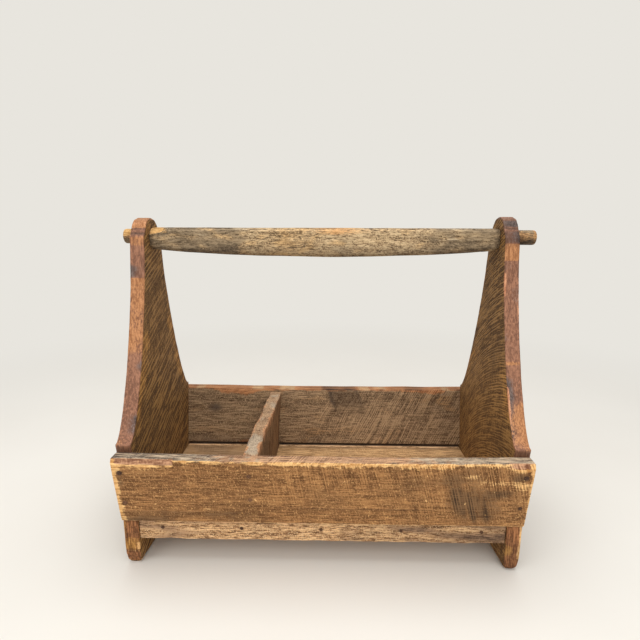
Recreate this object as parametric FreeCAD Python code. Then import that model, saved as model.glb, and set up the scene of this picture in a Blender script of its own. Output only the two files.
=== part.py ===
import FreeCAD, Part
import math
import os

# An old wooden tool caddy: a box with sloping long sides between two tall end boards,
# and a hewn bar between the heads of the end boards to carry it by.
# Millimetres. X runs along the box, Y from front to back, Z up.
# The origin is on the table, under the middle of the box.

# Sizes of the whole
INNER_LENGTH = 520.0       # clear length between the end boards
TOTAL_HEIGHT = 496.0       # table to the top of the heads
BOX_TOP = 178.0            # table to the top of the long side boards
TOP_INNER_DEPTH = 255.0    # clear depth between the side boards at their top
SIDE_SLOPE = 10.0          # lean of the side boards, outwards at the top, in degrees

# Board thicknesses
END_THICKNESS = 21.0
SIDE_THICKNESS = 21.0
FLOOR_THICKNESS = 21.0
DIVIDER_THICKNESS = 21.0
BATTEN_THICKNESS = 19.0

# End board outline
FOOT_SETBACK = 4.0         # front of the feet behind the lower edge of the side boards
TOE_RADIUS = 6.0           # rounding of the bottom corners
CORNER_RISE = 10.5         # from the top of the side boards up to the widest corner
CORNER_PULL = 27.0         # how strongly the hollow side starts level at the corner
NECK_WIDTH = 69.0
NECK_DROP = 14.0           # from the handle axis down to the neck
NECK_ANGLE = 5.3           # slant of the hollow side where it reaches the neck, in degrees
NECK_PULL = 96.0           # how strongly the hollow side follows that slant
HEAD_RISE = 30.0           # from the handle axis up to the top of the head
HEAD_WIDTH = 66.0          # across the head at the handle axis
CROWN_WIDTH = 50.0         # across the head at the crease of its clipped corners
CROWN_DROP = 18.0          # from the top of the head down to that crease
HEAD_FLAT = 16.0           # flat left on top of the head

# Floor, battens and divider
FLOOR_TOP = 70.0           # table to the upper face of the floor
SIDE_GAP = 4.0             # open slot between the floor and the side boards
BATTEN_HEIGHT = 29.0
BATTEN_SETBACK = 3.0       # batten face behind the front of the feet
DIVIDER_X = -97.0          # middle of the divider along the box
DIVIDER_DROP = 2.0         # divider top below the top of the side boards

# Handle bar
GRIP_TOP = 13.5            # from the handle axis up to the straight top
GRIP_END_DROP = 19.5       # from the handle axis down to the belly at the shoulders
GRIP_BELLY_DROP = 30.0     # from the handle axis down to the belly at mid length
GRIP_WIDTH = 30.0          # front to back
GRIP_CHAMFER = 5.0         # hewn flats along the long edges
TENON_DIAMETER = 22.0
TENON_LEFT_STAND = 20.0    # how far the left tenon stands out of its end board
TENON_RIGHT_STAND = 34.0   # how far the right tenon stands out of its end board
TENON_END_CHAMFER = 2.5
TENON_CLEARANCE = 0.08     # round each tenon in its hole
SHOULDER_CLEARANCE = 0.3   # between the bar's shoulders and the end boards

# Nails
NAIL_DIAMETER = 3.2
NAIL_HEAD_DIAMETER = 7.0
NAIL_HEAD_THICKNESS = 1.4
NAIL_PROUD = 0.6           # how far a head stands out of the board
NAIL_POINT = 5.0           # length of the pointed end
NAIL_BITE = 30.0           # length of a nail past the board that it holds
NAIL_CLEARANCE = 0.05      # round each nail in its hole
END_NAIL_UPPER = 22.0      # below the top of a side board, along its face
END_NAIL_LOWER = 73.0
DIVIDER_NAIL_UPPER = 25.0
DIVIDER_NAIL_LOWER = 65.0
BATTEN_NAIL_COUNT = 5
BATTEN_NAIL_EDGE = 34.0    # from the end of a batten to its first nail
FLOOR_NAIL_COUNT = 3
FLOOR_NAIL_EDGE = 45.0     # from the long edge of the floor to its first nail

# Places that follow from the sizes
slope = math.radians(SIDE_SLOPE)
end_inner_x = INNER_LENGTH / 2
end_outer_x = end_inner_x + END_THICKNESS
end_middle_x = end_inner_x + END_THICKNESS / 2
handle_z = TOTAL_HEIGHT - HEAD_RISE
side_bottom = FLOOR_TOP + SIDE_GAP
floor_middle_z = FLOOR_TOP - FLOOR_THICKNESS / 2
tenon_radius = TENON_DIAMETER / 2


def side_inner_y(z):
    """Half depth of the box at a height, where the side boards meet the end boards."""
    return TOP_INNER_DEPTH / 2 - (BOX_TOP - z) * math.tan(slope)


side_level_thickness = SIDE_THICKNESS / math.cos(slope)
foot_y = side_inner_y(side_bottom) + side_level_thickness - FOOT_SETBACK
batten_face_y = foot_y - BATTEN_SETBACK
floor_edge_y = batten_face_y - BATTEN_THICKNESS


def section_point(y, z):
    """A point of a cross section, on the plane through the middle of the box."""
    return FreeCAD.Vector(0, y, z)


def segments(points):
    """Straight edges through the points in turn."""
    return [Part.LineSegment(a, b).toShape() for a, b in zip(points, points[1:])]


def prism(edges, x_low, length):
    """A solid that carries a closed outline across Y and Z along the box."""
    wire = Part.Wire(Part.__sortEdges__(edges))
    solid = Part.Face(wire).extrude(FreeCAD.Vector(length, 0, 0))
    solid.translate(FreeCAD.Vector(x_low, 0, 0))
    return solid.removeSplitter()


def at_back(shape):
    """The same shape on the other side of the plane through the handle."""
    return shape.mirror(FreeCAD.Vector(0, 0, 0), FreeCAD.Vector(0, 1, 0))


# Nails
def along(base, direction, distance):
    """A point at a distance from the base."""
    return base + direction * distance


def nail(base, direction, length):
    """A wire nail whose head sits at the base, driven in along the direction."""
    head_low = along(base, direction, -NAIL_PROUD)
    shank_low = along(head_low, direction, NAIL_HEAD_THICKNESS)
    shank_length = length - NAIL_POINT - NAIL_HEAD_THICKNESS + NAIL_PROUD
    point_low = along(shank_low, direction, shank_length)
    head = Part.makeCylinder(NAIL_HEAD_DIAMETER / 2, NAIL_HEAD_THICKNESS, head_low, direction)
    shank = Part.makeCylinder(NAIL_DIAMETER / 2, shank_length, shank_low, direction)
    point = Part.makeCone(NAIL_DIAMETER / 2, 0, NAIL_POINT, point_low, direction)
    return head.fuse([shank, point]).removeSplitter()


def nail_hole(base, direction, length):
    """The room that a nail takes in the boards it holds together."""
    sink = NAIL_HEAD_THICKNESS - NAIL_PROUD + NAIL_CLEARANCE
    head_radius = NAIL_HEAD_DIAMETER / 2 + NAIL_CLEARANCE
    shank_radius = NAIL_DIAMETER / 2 + NAIL_CLEARANCE
    start = along(base, direction, -NAIL_PROUD)
    head_room = Part.makeCylinder(head_radius, sink + NAIL_PROUD, start, direction)
    shank_room = Part.makeCylinder(shank_radius, length + NAIL_CLEARANCE, base, direction)
    return head_room.fuse(shank_room)


class NailGroup:
    """Nails of one place, with the holes that they need."""

    def __init__(self, solids, holes):
        self.solids = solids
        self.holes = holes

    def shape(self):
        return Part.makeCompound(self.solids)

    def at_back(self):
        solids = [at_back(solid) for solid in self.solids]
        holes = [at_back(hole) for hole in self.holes]
        return NailGroup(solids, holes)


def drive(bases, direction, length):
    """A group of alike nails, driven in at the bases."""
    solids = [nail(base, direction, length) for base in bases]
    holes = [nail_hole(base, direction, length) for base in bases]
    return NailGroup(solids, holes)


def nailed(board, *groups):
    """A board with the holes of the nails that go through or into it."""
    holes = [hole for group in groups for hole in group.holes]
    return board.cut(holes)


def side_nails(x, drops):
    """Nails driven square through the front board, at distances below its top."""
    inwards = FreeCAD.Vector(0, math.cos(slope), math.sin(slope))
    top_y = -TOP_INNER_DEPTH / 2 - side_level_thickness
    bases = []
    for drop in drops:
        y = top_y + drop * math.sin(slope)
        z = BOX_TOP - drop * math.cos(slope)
        bases.append(FreeCAD.Vector(x, y, z))
    return drive(bases, inwards, SIDE_THICKNESS + NAIL_BITE)


def batten_nails():
    """Nails through the front batten into the edge of the floor."""
    first = -end_inner_x + BATTEN_NAIL_EDGE
    pitch = (INNER_LENGTH - 2 * BATTEN_NAIL_EDGE) / (BATTEN_NAIL_COUNT - 1)
    bases = []
    for index in range(BATTEN_NAIL_COUNT):
        bases.append(FreeCAD.Vector(first + index * pitch, -batten_face_y, floor_middle_z))
    return drive(bases, FreeCAD.Vector(0, 1, 0), BATTEN_THICKNESS + NAIL_BITE)


def floor_nails(end):
    """Nails through an end board into the end of the floor; end is -1 left, 1 right."""
    first = -floor_edge_y + FLOOR_NAIL_EDGE
    pitch = -2 * first / (FLOOR_NAIL_COUNT - 1)
    bases = []
    for index in range(FLOOR_NAIL_COUNT):
        bases.append(FreeCAD.Vector(end * end_outer_x, first + index * pitch, floor_middle_z))
    return drive(bases, FreeCAD.Vector(-end, 0, 0), END_THICKNESS + NAIL_BITE)


# End boards
def end_board_outline():
    """The outline of an end board: foot, notch for the side board, hollow side and head."""
    toe_turn = TOE_RADIUS * (1 - math.sqrt(0.5))
    toe_start = section_point(foot_y - TOE_RADIUS, 0)
    toe_middle = section_point(foot_y - toe_turn, toe_turn)
    toe_end = section_point(foot_y, TOE_RADIUS)

    corner_z = BOX_TOP + CORNER_RISE
    corner_y = side_inner_y(corner_z)
    neck_y = NECK_WIDTH / 2
    neck_z = handle_z - NECK_DROP
    neck_slant = math.radians(NECK_ANGLE)
    hollow = Part.BezierCurve()
    hollow.setPoles([
        section_point(corner_y, corner_z),
        section_point(corner_y - CORNER_PULL, corner_z),
        section_point(neck_y + NECK_PULL * math.sin(neck_slant), neck_z - NECK_PULL * math.cos(neck_slant)),
        section_point(neck_y, neck_z),
    ])

    bottom = segments([section_point(0, 0), toe_start])
    toe = [Part.Arc(toe_start, toe_middle, toe_end).toShape()]
    notch = segments([
        toe_end,
        section_point(foot_y, side_bottom),
        section_point(side_inner_y(side_bottom), side_bottom),
        section_point(corner_y, corner_z),
    ])
    head = segments([
        section_point(neck_y, neck_z),
        section_point(HEAD_WIDTH / 2, handle_z),
        section_point(CROWN_WIDTH / 2, TOTAL_HEIGHT - CROWN_DROP),
        section_point(HEAD_FLAT / 2, TOTAL_HEIGHT),
        section_point(0, TOTAL_HEIGHT),
    ])
    half = bottom + toe + notch + [hollow.toShape()] + head
    return half + [at_back(edge) for edge in half]


def end_board(end, *groups):
    """An end board with its handle hole; end is -1 left, 1 right."""
    x_low = end * end_middle_x - END_THICKNESS / 2
    board = prism(end_board_outline(), x_low, END_THICKNESS)
    hole_start = FreeCAD.Vector(x_low, 0, handle_z)
    hole = Part.makeCylinder(
        tenon_radius + TENON_CLEARANCE, END_THICKNESS, hole_start, FreeCAD.Vector(1, 0, 0)
    )
    return nailed(board.cut(hole), *groups)


# Long side boards
def front_board(*groups):
    """The sloping front board, with its long edges cut level."""
    inner_top = -side_inner_y(BOX_TOP)
    inner_bottom = -side_inner_y(side_bottom)
    corners = [
        section_point(inner_top, BOX_TOP),
        section_point(inner_top - side_level_thickness, BOX_TOP),
        section_point(inner_bottom - side_level_thickness, side_bottom),
        section_point(inner_bottom, side_bottom),
        section_point(inner_top, BOX_TOP),
    ]
    board = prism(segments(corners), -end_outer_x, 2 * end_outer_x)
    return nailed(board, *groups)


# Floor, battens and divider
def floor_board(*groups):
    """The floor, between the end boards and between the battens."""
    board = Part.makeBox(
        INNER_LENGTH, 2 * floor_edge_y, FLOOR_THICKNESS,
        FreeCAD.Vector(-end_inner_x, -floor_edge_y, FLOOR_TOP - FLOOR_THICKNESS),
    )
    return nailed(board, *groups)


def front_batten(*groups):
    """The strip along the front edge of the floor."""
    strip = Part.makeBox(
        INNER_LENGTH, BATTEN_THICKNESS, BATTEN_HEIGHT,
        FreeCAD.Vector(-end_inner_x, -batten_face_y, FLOOR_TOP - BATTEN_HEIGHT),
    )
    return nailed(strip, *groups)


def divider_board(*groups):
    """The board across the box, with its ends cut to the slope of the side boards."""
    top = BOX_TOP - DIVIDER_DROP
    corners = [
        section_point(-side_inner_y(FLOOR_TOP), FLOOR_TOP),
        section_point(side_inner_y(FLOOR_TOP), FLOOR_TOP),
        section_point(side_inner_y(top), top),
        section_point(-side_inner_y(top), top),
        section_point(-side_inner_y(FLOOR_TOP), FLOOR_TOP),
    ]
    board = prism(segments(corners), DIVIDER_X - DIVIDER_THICKNESS / 2, DIVIDER_THICKNESS)
    return nailed(board, *groups)


# Handle bar
def tenon(end, stand):
    """A round end of the bar, from its shoulder to past the end board."""
    length = SHOULDER_CLEARANCE + END_THICKNESS + stand
    start = FreeCAD.Vector(end * (end_inner_x - SHOULDER_CLEARANCE), 0, handle_z)
    direction = FreeCAD.Vector(end, 0, 0)
    shaft_length = length - TENON_END_CHAMFER
    tip_start = along(start, direction, shaft_length)
    shaft = Part.makeCylinder(tenon_radius, shaft_length, start, direction)
    tip_radius = tenon_radius - TENON_END_CHAMFER
    tip = Part.makeCone(tenon_radius, tip_radius, TENON_END_CHAMFER, tip_start, direction)
    return shaft.fuse(tip)


def handle_bar():
    """The bar: straight on top, bowed below, with hewn flats along its edges."""
    half = end_inner_x - SHOULDER_CLEARANCE
    front = -GRIP_WIDTH / 2
    top_left = FreeCAD.Vector(-half, front, handle_z + GRIP_TOP)
    top_right = FreeCAD.Vector(half, front, handle_z + GRIP_TOP)
    low_left = FreeCAD.Vector(-half, front, handle_z - GRIP_END_DROP)
    low_right = FreeCAD.Vector(half, front, handle_z - GRIP_END_DROP)
    belly = FreeCAD.Vector(0, front, handle_z - GRIP_BELLY_DROP)
    edges = segments([low_left, top_left, top_right, low_right])
    edges.append(Part.Arc(low_right, belly, low_left).toShape())
    face = Part.Face(Part.Wire(Part.__sortEdges__(edges)))
    grip = face.extrude(FreeCAD.Vector(0, GRIP_WIDTH, 0))
    long_edges = [edge for edge in grip.Edges if edge.Length > INNER_LENGTH / 2]
    grip = grip.makeChamfer(GRIP_CHAMFER, long_edges)
    return grip.fuse([tenon(-1, TENON_LEFT_STAND), tenon(1, TENON_RIGHT_STAND)]).removeSplitter()


# The pieces, each with the nails that touch it
end_drops = (END_NAIL_UPPER, END_NAIL_LOWER)
divider_drops = (DIVIDER_NAIL_UPPER, DIVIDER_NAIL_LOWER)
front_left = side_nails(-end_middle_x, end_drops)
front_right = side_nails(end_middle_x, end_drops)
front_middle = side_nails(DIVIDER_X, divider_drops)
back_left = front_left.at_back()
back_right = front_right.at_back()
back_middle = front_middle.at_back()
front_strip = batten_nails()
back_strip = front_strip.at_back()
left_floor = floor_nails(-1)
right_floor = floor_nails(1)

pieces = {
    "left_end_board": end_board(-1, front_left, back_left, left_floor),
    "right_end_board": end_board(1, front_right, back_right, right_floor),
    "front_board": front_board(front_left, front_right, front_middle),
    "back_board": at_back(front_board(front_left, front_right, front_middle)),
    "floor_board": floor_board(front_strip, back_strip, left_floor, right_floor),
    "front_floor_batten": front_batten(front_strip),
    "back_floor_batten": at_back(front_batten(front_strip)),
    "divider_board": divider_board(front_middle, back_middle),
    "handle_bar": handle_bar(),
    "front_left_nails": front_left.shape(),
    "front_right_nails": front_right.shape(),
    "front_divider_nails": front_middle.shape(),
    "back_left_nails": back_left.shape(),
    "back_right_nails": back_right.shape(),
    "back_divider_nails": back_middle.shape(),
    "front_batten_nails": front_strip.shape(),
    "back_batten_nails": back_strip.shape(),
    "left_floor_nails": left_floor.shape(),
    "right_floor_nails": right_floor.shape(),
}

os.makedirs("parts", exist_ok=True)
for name, shape in pieces.items():
    shape.exportStep("parts/" + name + ".step")
    box = shape.BoundBox
    print(name, len(shape.Solids), shape.isValid(), round(shape.Volume), box)
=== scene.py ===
# %% [markdown]
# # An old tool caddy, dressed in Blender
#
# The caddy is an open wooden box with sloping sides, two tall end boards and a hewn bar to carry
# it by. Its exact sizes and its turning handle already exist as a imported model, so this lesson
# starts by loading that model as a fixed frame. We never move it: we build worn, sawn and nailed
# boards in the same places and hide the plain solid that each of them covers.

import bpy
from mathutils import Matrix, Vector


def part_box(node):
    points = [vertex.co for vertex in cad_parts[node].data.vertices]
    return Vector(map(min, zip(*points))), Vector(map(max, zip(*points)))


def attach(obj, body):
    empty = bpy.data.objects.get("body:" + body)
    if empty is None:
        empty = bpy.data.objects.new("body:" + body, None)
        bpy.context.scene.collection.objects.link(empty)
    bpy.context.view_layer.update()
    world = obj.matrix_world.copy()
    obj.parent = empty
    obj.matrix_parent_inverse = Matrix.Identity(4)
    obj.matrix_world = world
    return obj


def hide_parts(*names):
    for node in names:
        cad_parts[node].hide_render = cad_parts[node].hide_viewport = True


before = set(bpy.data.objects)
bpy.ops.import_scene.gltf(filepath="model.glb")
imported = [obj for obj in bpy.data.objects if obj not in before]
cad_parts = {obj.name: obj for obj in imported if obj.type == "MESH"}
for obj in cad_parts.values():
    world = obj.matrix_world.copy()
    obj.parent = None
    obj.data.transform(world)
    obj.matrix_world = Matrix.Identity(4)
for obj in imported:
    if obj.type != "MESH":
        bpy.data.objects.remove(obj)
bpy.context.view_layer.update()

# %% The modules used below
import math

import bmesh
import bpy
import numpy as np
from mathutils import Matrix, Vector, noise
from mathutils.geometry import interpolate_bezier

scene = bpy.context.scene
scene.view_settings.view_transform = "Standard"
MM = 0.001

# %% [markdown]
# ## The camera
#
# A picture of a long box seen from close by has strong perspective, so the lens matters as much as
# the place. Both were found by fitting the corners of the box to the picture. The camera stands
# at the height of the handle, looks a little down, and has the wide lens of a pocket camera.

# %% A camera at the picture's viewpoint
PICTURE_PIXELS = 640
FOCAL_PIXELS = 444.0
SENSOR_WIDTH = 36.0
CAMERA_PLACE = (0.0077, -0.6812, 0.4760)
YAW, PITCH, ROLL = -0.0186, 0.1999, 0.0037

forward = Vector((math.sin(YAW) * math.cos(PITCH), math.cos(YAW) * math.cos(PITCH), -math.sin(PITCH)))
level = Vector((math.cos(YAW), -math.sin(YAW), 0))
above = level.cross(forward)
right = level * math.cos(ROLL) + above * math.sin(ROLL)
up = above * math.cos(ROLL) - level * math.sin(ROLL)

lens = bpy.data.cameras.new("viewpoint")
lens.sensor_width = SENSOR_WIDTH
lens.lens = FOCAL_PIXELS / PICTURE_PIXELS * SENSOR_WIDTH
camera = bpy.data.objects.new("viewpoint", lens)
camera.matrix_world = Matrix.Translation(CAMERA_PLACE) @ Matrix((right, up, -forward)).transposed().to_4x4()
scene.collection.objects.link(camera)
scene.camera = camera
print("lens", round(lens.lens, 2), "mm at", CAMERA_PLACE)

# %% [markdown]
# ## Shader maths as plain expressions
#
# A procedural finish is a web of small nodes, and drawing it by hand hides the idea behind it. Here
# one small class wraps a node's output, so that a sum or a product of two outputs adds the Math
# node by itself. Every other kind of node comes from its one method `node`.

# %% A socket that takes part in Python expressions
def connect(value, target):
    """Links an output to the input of a node, or sets that input to a plain value."""
    if isinstance(value, Socket):
        value.tree.links.new(value.output, target)
    else:
        target.default_value = value


class Socket:
    """An output of a shader node. Arithmetic on it adds Math nodes to the same tree."""

    # a Mix node has sockets for every kind of value, and these are the ones for colours
    MIX_FACTOR, MIX_FIRST, MIX_SECOND, MIX_RESULT = 0, 6, 7, 2

    def __init__(self, tree, output):
        self.tree = tree
        self.output = output

    def node(self, kind, settings, sockets, output=0):
        """A new node: its kind, its settings, then the values or links of its sockets."""
        made = self.tree.nodes.new("ShaderNode" + kind)
        for name, value in settings.items():
            setattr(made, name, value)
        for name, value in sockets.items():
            connect(value, made.inputs[name])
        return Socket(self.tree, made.outputs[output])

    def maths(self, operation, first, second):
        """A Math node on two values."""
        return self.node("Math", {"operation": operation}, {0: first, 1: second})

    def __add__(self, other):
        return self.maths("ADD", self, other)

    def __sub__(self, other):
        return self.maths("SUBTRACT", self, other)

    def __rsub__(self, other):
        return self.maths("SUBTRACT", other, self)

    def __mul__(self, other):
        return self.maths("MULTIPLY", self, other)

    __radd__ = __add__
    __rmul__ = __mul__

    def between(self, low, high):
        """0 below the low value, 1 above the high one, and a soft step between them."""
        limits = {"Value": self, "From Min": low, "From Max": high}
        return self.node("MapRange", {"interpolation_type": "SMOOTHSTEP"}, limits)

    def mix(self, first, second):
        """The first colour where this value is 0 and the second where it is 1."""
        colours = {self.MIX_FACTOR: self, self.MIX_FIRST: first, self.MIX_SECOND: second}
        return self.node("Mix", {"data_type": "RGBA"}, colours, self.MIX_RESULT)


def tone(red, green, blue):
    """A colour written as on a paint card, from 0 to 255, in the linear light that shaders use."""
    shares = [share / 255 for share in (red, green, blue)]
    linear = [s / 12.92 if s <= 0.04045 else ((s + 0.055) / 1.055) ** 2.4 for s in shares]
    return (*linear, 1.0)


def new_finish(name):
    """An empty material, its Object coordinates and its shader."""
    material = bpy.data.materials.new(name)
    material.use_nodes = True
    tree = material.node_tree
    coordinates = Socket(tree, tree.nodes.new("ShaderNodeTexCoord").outputs["Object"])
    return material, coordinates, tree.nodes["Principled BSDF"]


def speckle(place, scale, detail, **more):
    """A Noise texture at a place, such as the Object coordinates."""
    return place.node("TexNoise", {}, {"Vector": place, "Scale": scale, "Detail": detail, **more})


def wire(shader, **values):
    """Links or sets inputs of a shader; underscores stand for the spaces in their names."""
    for name, value in values.items():
        connect(value, shader.inputs[name.replace("_", " ")])


# %% [markdown]
# ## Floor and light
#
# The caddy stands on a plain pale floor in a soft studio. Two large lamps in front and one overhead
# give about as much light as makes a written colour render as it is written, and the world fills
# the shadows. The pale background is only what the camera sees of the world: it adds no light. Far
# from the caddy the floor fades into that same colour, so no line shows where it ends.

# %% What the camera sees behind the caddy
BACKDROP = tone(232, 229, 222)


def seen_rays(tree):
    """1 for rays that end in a picture, straight or by a reflection, and 0 for rays of light."""
    rays = tree.nodes.new("ShaderNodeLightPath").outputs
    return sum(Socket(tree, rays[f"Is {kind} Ray"]) for kind in ("Camera", "Glossy", "Transmission"))


# %% A pale floor
FLOOR_RADIUS = 6.0
FLOOR_DROP = 0.0004
FADE_START, FADE_END = 0.5, 1.7
floor_mesh = bpy.data.meshes.new("studio_floor")
bm = bmesh.new()
bmesh.ops.create_circle(bm, cap_ends=True, segments=96, radius=FLOOR_RADIUS)
bmesh.ops.translate(bm, vec=(0, 0, -FLOOR_DROP), verts=bm.verts)
bm.to_mesh(floor_mesh)
bm.free()
studio_floor = bpy.data.objects.new("studio_floor", floor_mesh)
scene.collection.objects.link(studio_floor)

floor_paint, spot, shader = new_finish("pale_floor_paint")
mottle = speckle(spot, 3.0, 3.0)
wire(shader, Base_Color=mottle.mix(tone(226, 222, 214), BACKDROP), Roughness=0.9)
far_off = spot.node("VectorMath", {"operation": "LENGTH"}, {0: spot}, "Value").between(FADE_START, FADE_END)
haze = spot.node("Emission", {}, {"Color": BACKDROP, "Strength": 1.0})
painted = Socket(spot.tree, shader.outputs["BSDF"])
faded = spot.node("MixShader", {}, {0: far_off * seen_rays(spot.tree), 1: painted, 2: haze})
spot.tree.links.new(faded.output, spot.tree.nodes["Material Output"].inputs["Surface"])
floor_mesh.materials.append(floor_paint)
print("floor", FLOOR_RADIUS, "m from its middle to its edge")

# %% Soft lamps and a pale world
CADDY_MIDDLE = Vector((0, 0, 0.2))
SOFT_WHITE = (1.0, 0.98, 0.95, 1)


def lamp(name, place, size, watts):
    """A square soft lamp that faces the middle of the caddy."""
    light = bpy.data.lights.new(name, "AREA")
    light.size = size
    light.energy = watts
    made = bpy.data.objects.new(name, light)
    made.location = place
    made.rotation_euler = (CADDY_MIDDLE - made.location).to_track_quat("-Z", "Y").to_euler()
    scene.collection.objects.link(made)


lamp("key_lamp", (0.5, -2.0, 1.6), 1.6, 18)
lamp("fill_lamp", (-1.5, -1.6, 1.4), 1.6, 13)
lamp("top_lamp", (0.0, -0.1, 2.4), 2.0, 36)

world = bpy.data.worlds.new("studio")
world.use_nodes = True
scene.world = world
air = world.node_tree
air.nodes.clear()
shown = seen_rays(air)
light = shown.node("Background", {}, {"Color": SOFT_WHITE, "Strength": 0.5})
backdrop = shown.node("Background", {}, {"Color": BACKDROP, "Strength": 1.0})
either = shown.node("MixShader", {}, {0: shown, 1: light, 2: backdrop})
world_out = air.nodes.new("ShaderNodeOutputWorld")
air.links.new(either.output, world_out.inputs["Surface"])

# %% [markdown]
# ## Old wood
#
# Rough sawn wood that has been handled and rained on for a lifetime has several layers of colour:
# the grain itself, fine dark checks along it, the ridges and grooves of the saw across it, silver
# where rain reached it, bare and orange where it split, and pale gold along worn edges. Grain is
# noise drawn out along the board. The other layers need to know the shape, so each piece carries
# them as numbers on its vertices, and fine noise in the finish frays their borders.

# %% A finish for weathered boards
# the colour of real stains and of painted shade
DARK_STAIN_AND_SHADE = tone(44, 31, 24)
BORDER, ROUGHER = 0.47, 0.6
# short light scratches in three directions: how long, how wide, shifted and turned by how much
FLECKS = ((0.0080, 0.0016, 9.1, 0.7), (0.0065, 0.0015, 4.4, 1.6), (0.0070, 0.0016, 2.2, 2.5))


def old_wood(name, grain, tones, layers, seed, coarse=1.0, length=1.0, sawing=0.5, even=0.0, checked=0.2,
             flecked=0.3, wavy=0.3):
    """Weathered wood with its grain along axis 0, 1 or 2. Its colours are written as for tone.

    tones are its dark, middle, light and aged colours and that of fresh scratches. layers gives, for
    each mask that a piece carries, the dark and light colour there and how soft its border is. The
    rest sets the size and length of the grain, the strength and evenness of the saw marks, how many
    checks and scratches there are, and how wavy the grain runs.
    """
    material, spot, shader = new_finish(name)

    def strands(run, width, detail, shift, turn=0.0):
        """Noise drawn out along the grain into strands that run so far and are so wide, in metres."""
        size = [width * coarse] * 3
        size[grain] = run * coarse * length
        drawn = {"Vector": spot, "Location": (seed + shift,) * 3, "Rotation": (turn,) * 3, "Scale": size}
        place = spot.node("Mapping", {"vector_type": "TEXTURE"}, drawn)
        return speckle(place, 1.0, detail, Roughness=ROUGHER, Distortion=wavy)

    def mask(label):
        """What a piece carries on its vertices under this name."""
        return spot.node("Attribute", {"attribute_name": label}, {}, "Fac")

    fibre = strands(0.022, 0.0019, 3.0, 0.0)
    streak = strands(0.100, 0.0048, 3.0, 7.3)
    broad = strands(0.300, 0.0240, 2.0, 3.1)
    grit = speckle(spot, 400.0 / coarse, 3.0, Roughness=ROUGHER)
    patch = speckle(spot, 13.0 + seed, 4.0, Roughness=ROUGHER)
    checks = strands(0.060, 0.0022, 2.0, 5.7).between(0.59, 0.67) * checked
    flecks = sum(strands(run, width, 1.0, *moved).between(0.61, 0.70) for run, width, *moved in FLECKS)

    # the saw: even strokes, stronger and weaker by turns, broader bands of them, and fine scuffs
    sawline, sawn = mask("sawline"), mask("sawn")

    def bands(rate, along=12.0):
        """Noise in bands along the saw marks, with a new value about every 1 / rate strokes."""
        across = spot.node("CombineXYZ", {}, {"X": sawline * rate})
        drawn_along = spot.node("VectorMath", {"operation": "SCALE"}, {0: spot, "Scale": along})
        place = spot.node("VectorMath", {"operation": "ADD"}, {0: across, 1: drawn_along})
        return speckle(place, 1.0, 1.0)

    strokes = spot.maths("SINE", sawline * math.tau + bands(0.2) * 9.0, 0.0).between(0.1, 1.0)
    cuts = (bands(0.4 + 0.7 * even) - 0.5) * (0.30 + 0.15 * even)
    cuts = cuts + (bands(1.7 + 0.3 * even, 45.0) - 0.5) * (0.35 + 0.50 * even)
    cuts = cuts + (strokes * bands(0.6).between(0.40, 0.62) - 0.15) * (0.22 + 0.16 * even)

    grained = (fibre * 0.50 + grit * 0.18 + streak * 0.17 + broad * 0.15 - 0.5) * (1 - sawn * 0.4)
    figure = (grained + cuts * sawn * sawing).between(-0.092, 0.092)
    dark, middle, light, aged, fresh = (tone(*shade) for shade in tones)
    colour = figure.between(0.0, 0.5).mix(dark, middle)
    colour = figure.between(0.5, 1.0).mix(colour, light)
    colour = (patch.between(0.48, 0.68) * 0.5).mix(colour, figure.mix(dark, aged))
    colour = (flecks * flecked).mix(colour, fresh)
    frayed = (fibre - 0.5) * 0.8 + (grit - 0.5) * 0.5 + (patch - 0.5) * 0.5 + cuts * sawn * 0.8
    for label, (low, high, spread) in layers.items():
        worn = mask(label)
        amount = (worn + frayed * worn.between(0.02, 0.3)).between(BORDER - spread, BORDER + spread)
        colour = amount.mix(colour, figure.mix(tone(*low), tone(*high)))
    colour = checks.mix(colour, dark)
    # the darkest layer: real stains, rust round nails and dirt, and also painted shade in gaps, where parts
    # meet and on undersides
    colour = (mask("stain_and_shade") * 0.9).mix(colour, DARK_STAIN_AND_SHADE)

    height = fibre * 0.5 + grit * 0.4 + streak * 0.3 + cuts * sawn * 0.8 - checks * 0.6
    relief = spot.node("Bump", {}, {"Height": height, "Strength": 0.75, "Distance": 0.001})
    roughness = 0.92 - figure * 0.2 - mask("handled") * 0.25
    wire(shader, Base_Color=colour, Roughness=roughness, Normal=relief, Specular_IOR_Level=0.3)
    print(name, "is mixed from", len(spot.tree.nodes), "nodes")
    return material


# %% [markdown]
# ## Boards as fine grids
#
# A worn board is still a box, but with thousands of small faces that can be pushed about: its edges
# rounded, its top sagged, the ridges of the saw left on it. We start from a cube, cut lines close
# to each edge so that a worn edge has faces to be round with, and divide the rest evenly. Sculpting
# by hand would work too, but a formula gives the same board each time.

# %% A box cut into a fine grid
ARRIS_LINES = (0.7 * MM, 1.6 * MM, 3.0 * MM)
AXES = (Vector((1, 0, 0)), Vector((0, 1, 0)), Vector((0, 0, 1)))


def cut_across(bm, axis, places):
    """Cuts the whole mesh square to an axis, at each of the places."""
    for place in places:
        everything = bm.verts[:] + bm.edges[:] + bm.faces[:]
        plane = {"plane_co": AXES[axis] * place, "plane_no": AXES[axis]}
        bmesh.ops.bisect_plane(bm, geom=everything, dist=1e-7, **plane)


def divide(bm, axis, step):
    """Divides the long edges that run straight along an axis into parts of about a step."""
    spans = {}
    for edge in bm.edges:
        run = abs(edge.verts[0].co[axis] - edge.verts[1].co[axis])
        if run > 1.5 * step and run > 0.99 * edge.calc_length():
            spans.setdefault(round(run / step), []).append(edge)
    for parts, edges in spans.items():
        bmesh.ops.subdivide_edges(bm, edges=edges, cuts=parts - 1, use_grid_fill=True)


def cut_beside_edges(bm, axis, half):
    """Cuts extra lines beside the two ends of a box that is centred on an axis."""
    cut_across(bm, axis, [side * (half - line) for line in ARRIS_LINES for side in (-1, 1)])


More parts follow.
